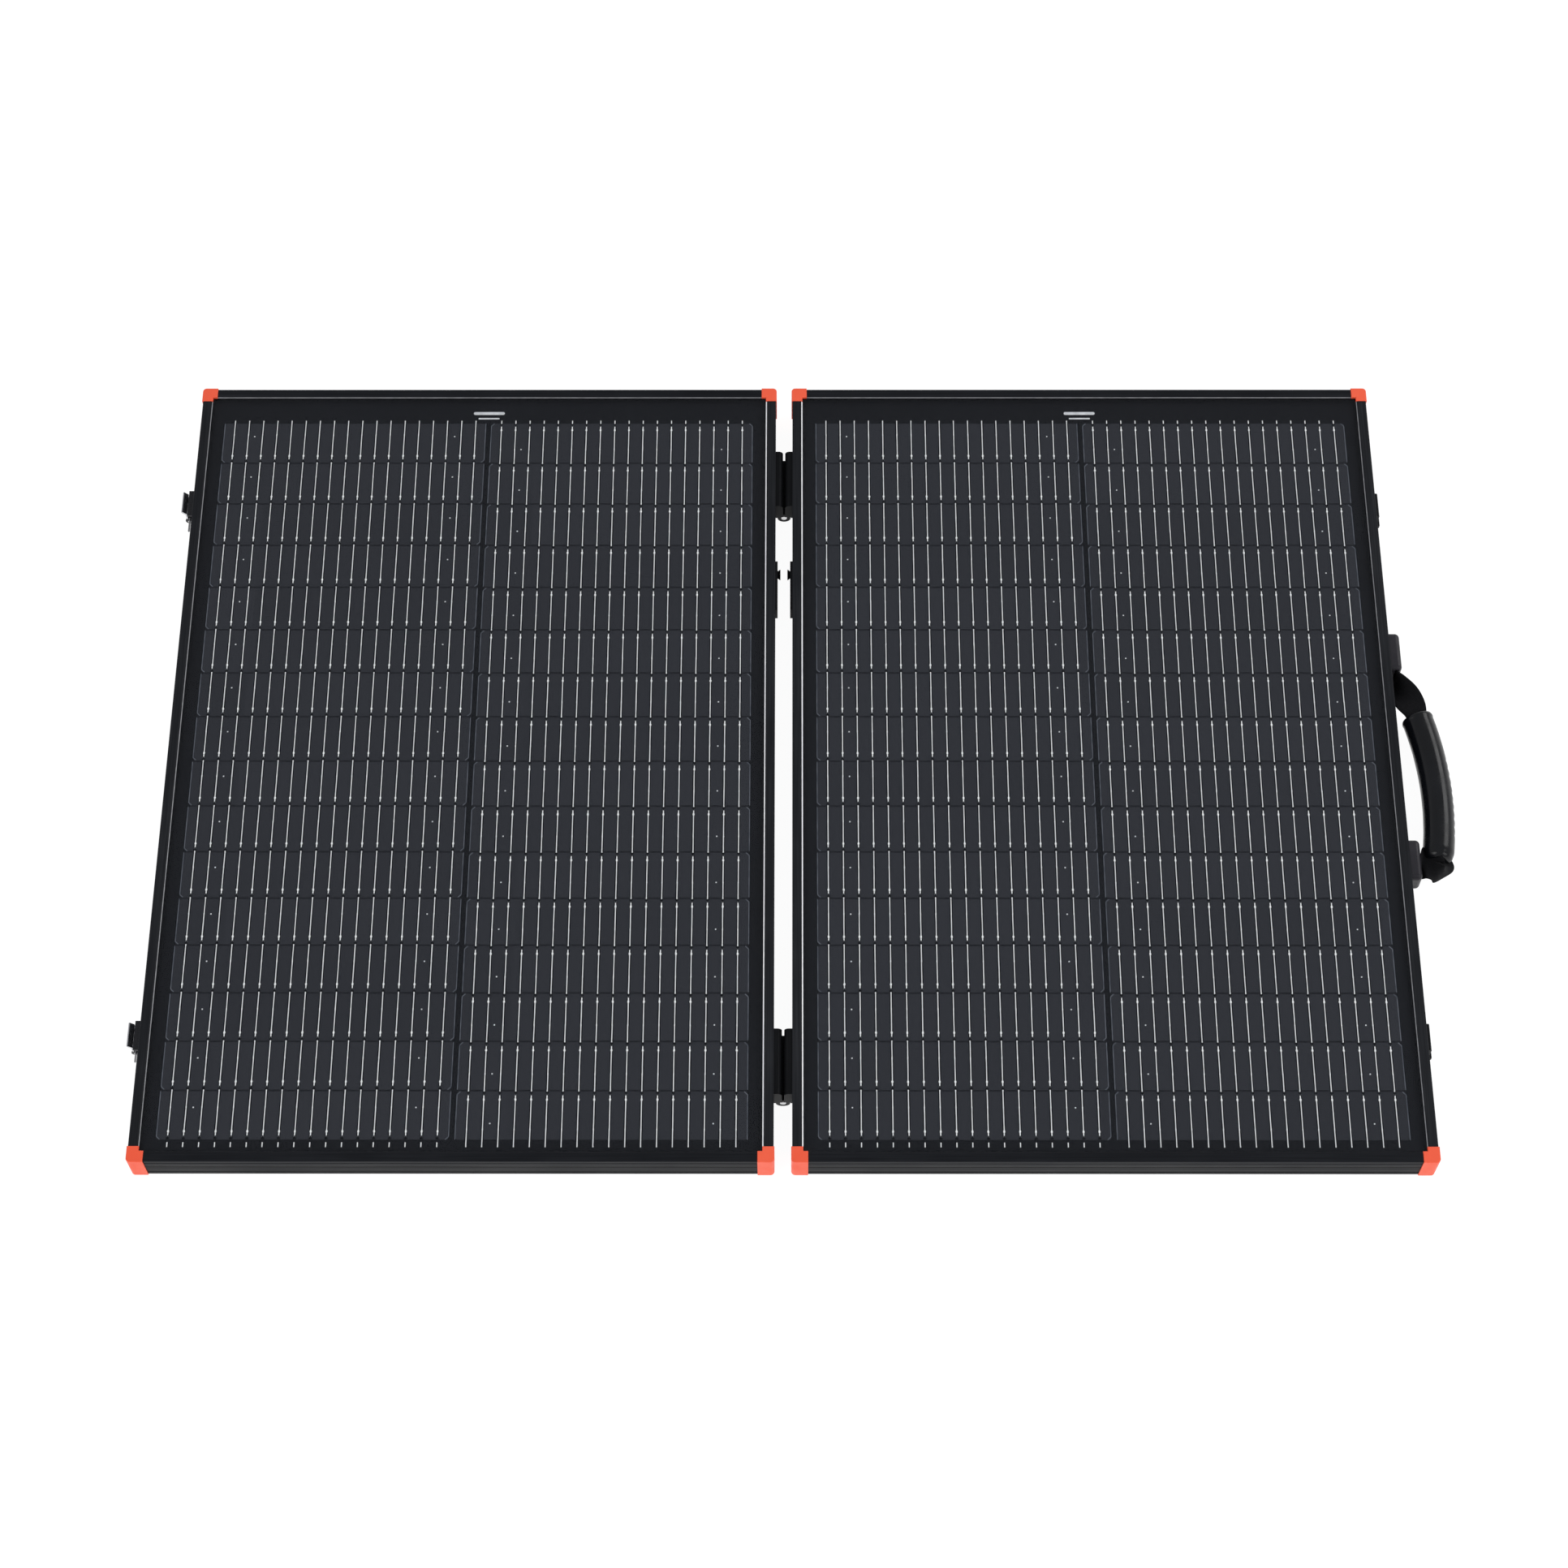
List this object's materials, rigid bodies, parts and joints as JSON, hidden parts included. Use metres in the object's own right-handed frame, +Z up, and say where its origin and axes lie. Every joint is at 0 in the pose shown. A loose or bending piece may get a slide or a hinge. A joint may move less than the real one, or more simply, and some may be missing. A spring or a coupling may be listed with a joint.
{
  "type": "folding solar suitcase kit",
  "caption": "Folding solar suitcase: hinged framed photovoltaic panels with orange corner caps, draw latches, webbing handle, folding stands and charge controller.",
  "frame": {"origin": "under the middle of the whole object, latches and handle included, level with the bottom of the hinge barrels", "axes": "+X to the right panel and its handle, +Y to the far edge along the fold, +Z up out of the glass, in the open flat pose"},
  "size_m": [0.9865, 0.6644, 0.032],
  "materials": {
    "frame": "satin black anodised",
    "corner_cap": "moulded, fine texture",
    "glass": "low-iron tempered glass, faint texture",
    "cell": "dark silicon with silver round wires",
    "backsheet": "black sheet",
    "box": "moulded, spark-eroded texture",
    "stand": "black anodised bar and tube",
    "foot": "moulded rubber",
    "steel": "blackened or plain steel fixings",
    "hinge": "black anodised extrusion",
    "pin": "bright ground pin",
    "latch_steel": "bright nickel-plated pressing and wire",
    "mount": "glass-filled nylon",
    "webbing": "woven black webbing",
    "grip": "glossy moulded elastomer",
    "controller": "moulded case",
    "window": "display window",
    "board": "green circuit board",
    "button": "grey keys"
  },
  "bodies": {
    "left_panel": {"controller_board": "board", "controller_case": "controller", "controller_face": "controller", "controller_terminals": "box", "controller_window": "window", "hinge_leaves_left": "hinge", "hinge_pins": "pin", "hinge_screws_left": "steel", "latch_bases": "latch_steel", "latch_pins": "latch_steel", "latch_rivets": "latch_steel", "left_backsheet": "backsheet", "left_cable_glands": "box", "left_cells": "cell", "left_corner_caps": "corner_cap", "left_frame_far": "frame", "left_frame_inner": "frame", "left_frame_near": "frame", "left_frame_outer": "frame", "left_glass": "glass", "left_junction_box": "box", "left_junction_lid": "box", "left_pivot_plate": "hinge", "left_stand_pivots": "steel"},
    "right_panel": {"handle_mounts": "mount", "handle_screws": "steel", "hinge_leaves_right": "hinge", "hinge_screws_right": "steel", "keeper_rivets": "steel", "keepers": "hinge", "right_backsheet": "backsheet", "right_cable_glands": "box", "right_cells": "cell", "right_corner_caps": "corner_cap", "right_frame_far": "frame", "right_frame_inner": "frame", "right_frame_near": "frame", "right_frame_outer": "frame", "right_glass": "glass", "right_junction_box": "box", "right_junction_lid": "box", "right_pivot_plate": "hinge", "right_stand_pivots": "steel"},
    "left_stand": {"left_stand_crossbar": "stand", "left_stand_feet": "foot", "left_stand_legs": "stand"},
    "right_stand": {"right_stand_crossbar": "stand", "right_stand_feet": "foot", "right_stand_legs": "stand"},
    "latch_lever_far": {"latch_lever_far": "latch_steel"},
    "latch_lever_near": {"latch_lever_near": "latch_steel"},
    "latch_bail_far": {"latch_bail_far": "latch_steel"},
    "latch_bail_near": {"latch_bail_near": "latch_steel"},
    "handle": {"handle_grip": "grip", "handle_strap": "webbing"},
    "button_1": {"controller_button_1": "button"},
    "button_2": {"controller_button_2": "button"},
    "button_3": {"controller_button_3": "button"}
  },
  "joints": [
    {"name": "fold", "type": "hinge", "parent": "left_panel", "child": "right_panel", "pos_m": [-0.01525, 0, 0.0052], "axis": [0, 1, 0], "range_deg": [0, 180]},
    {"name": "left_stand_swing", "type": "hinge", "parent": "left_panel", "child": "left_stand", "pos_m": [-0.2531, 0.1663, 0.0153], "axis": [-1, 0, 0], "range_deg": [-80, 0]},
    {"name": "right_stand_swing", "type": "hinge", "parent": "right_panel", "child": "right_stand", "pos_m": [0.2226, 0.1663, 0.0153], "axis": [-1, 0, 0], "range_deg": [-80, 0]},
    {"name": "latch_lever_far_turn", "type": "hinge", "parent": "left_panel", "child": "latch_lever_far", "pos_m": [-0.48845, 0.2253, 0.0153], "axis": [0, -1, 0], "range_deg": [0, 130]},
    {"name": "latch_bail_far_turn", "type": "hinge", "parent": "latch_lever_far", "child": "latch_bail_far", "pos_m": [-0.48745, 0.2253, 0.0203], "axis": [0, -1, 0], "range_deg": [-195, 0]},
    {"name": "latch_lever_near_turn", "type": "hinge", "parent": "left_panel", "child": "latch_lever_near", "pos_m": [-0.48845, -0.2325, 0.0153], "axis": [0, -1, 0], "range_deg": [0, 130]},
    {"name": "latch_bail_near_turn", "type": "hinge", "parent": "latch_lever_near", "child": "latch_bail_near", "pos_m": [-0.48745, -0.2325, 0.0203], "axis": [0, -1, 0], "range_deg": [-195, 0]},
    {"name": "handle_swing", "type": "hinge", "parent": "right_panel", "child": "handle", "pos_m": [0.45855, 0, 0.019], "axis": [0, -1, 0], "range_deg": [-20, 20], "deforming": ["handle_strap"]},
    {"name": "button_1_press", "type": "slide", "parent": "left_panel", "child": "button_1", "axis": [0, 0, 1], "range_m": [0, 0.0008], "stiffness_N_per_m": 400},
    {"name": "button_2_press", "type": "slide", "parent": "left_panel", "child": "button_2", "axis": [0, 0, 1], "range_m": [0, 0.0008], "stiffness_N_per_m": 400},
    {"name": "button_3_press", "type": "slide", "parent": "left_panel", "child": "button_3", "axis": [0, 0, 1], "range_m": [0, 0.0008], "stiffness_N_per_m": 400}
  ],
  "couplings": [
    {"joint": "latch_bail_far_turn", "follows": "latch_lever_far_turn", "ratio": -1.5},
    {"joint": "latch_bail_near_turn", "follows": "latch_lever_near_turn", "ratio": -1.5}
  ]
}
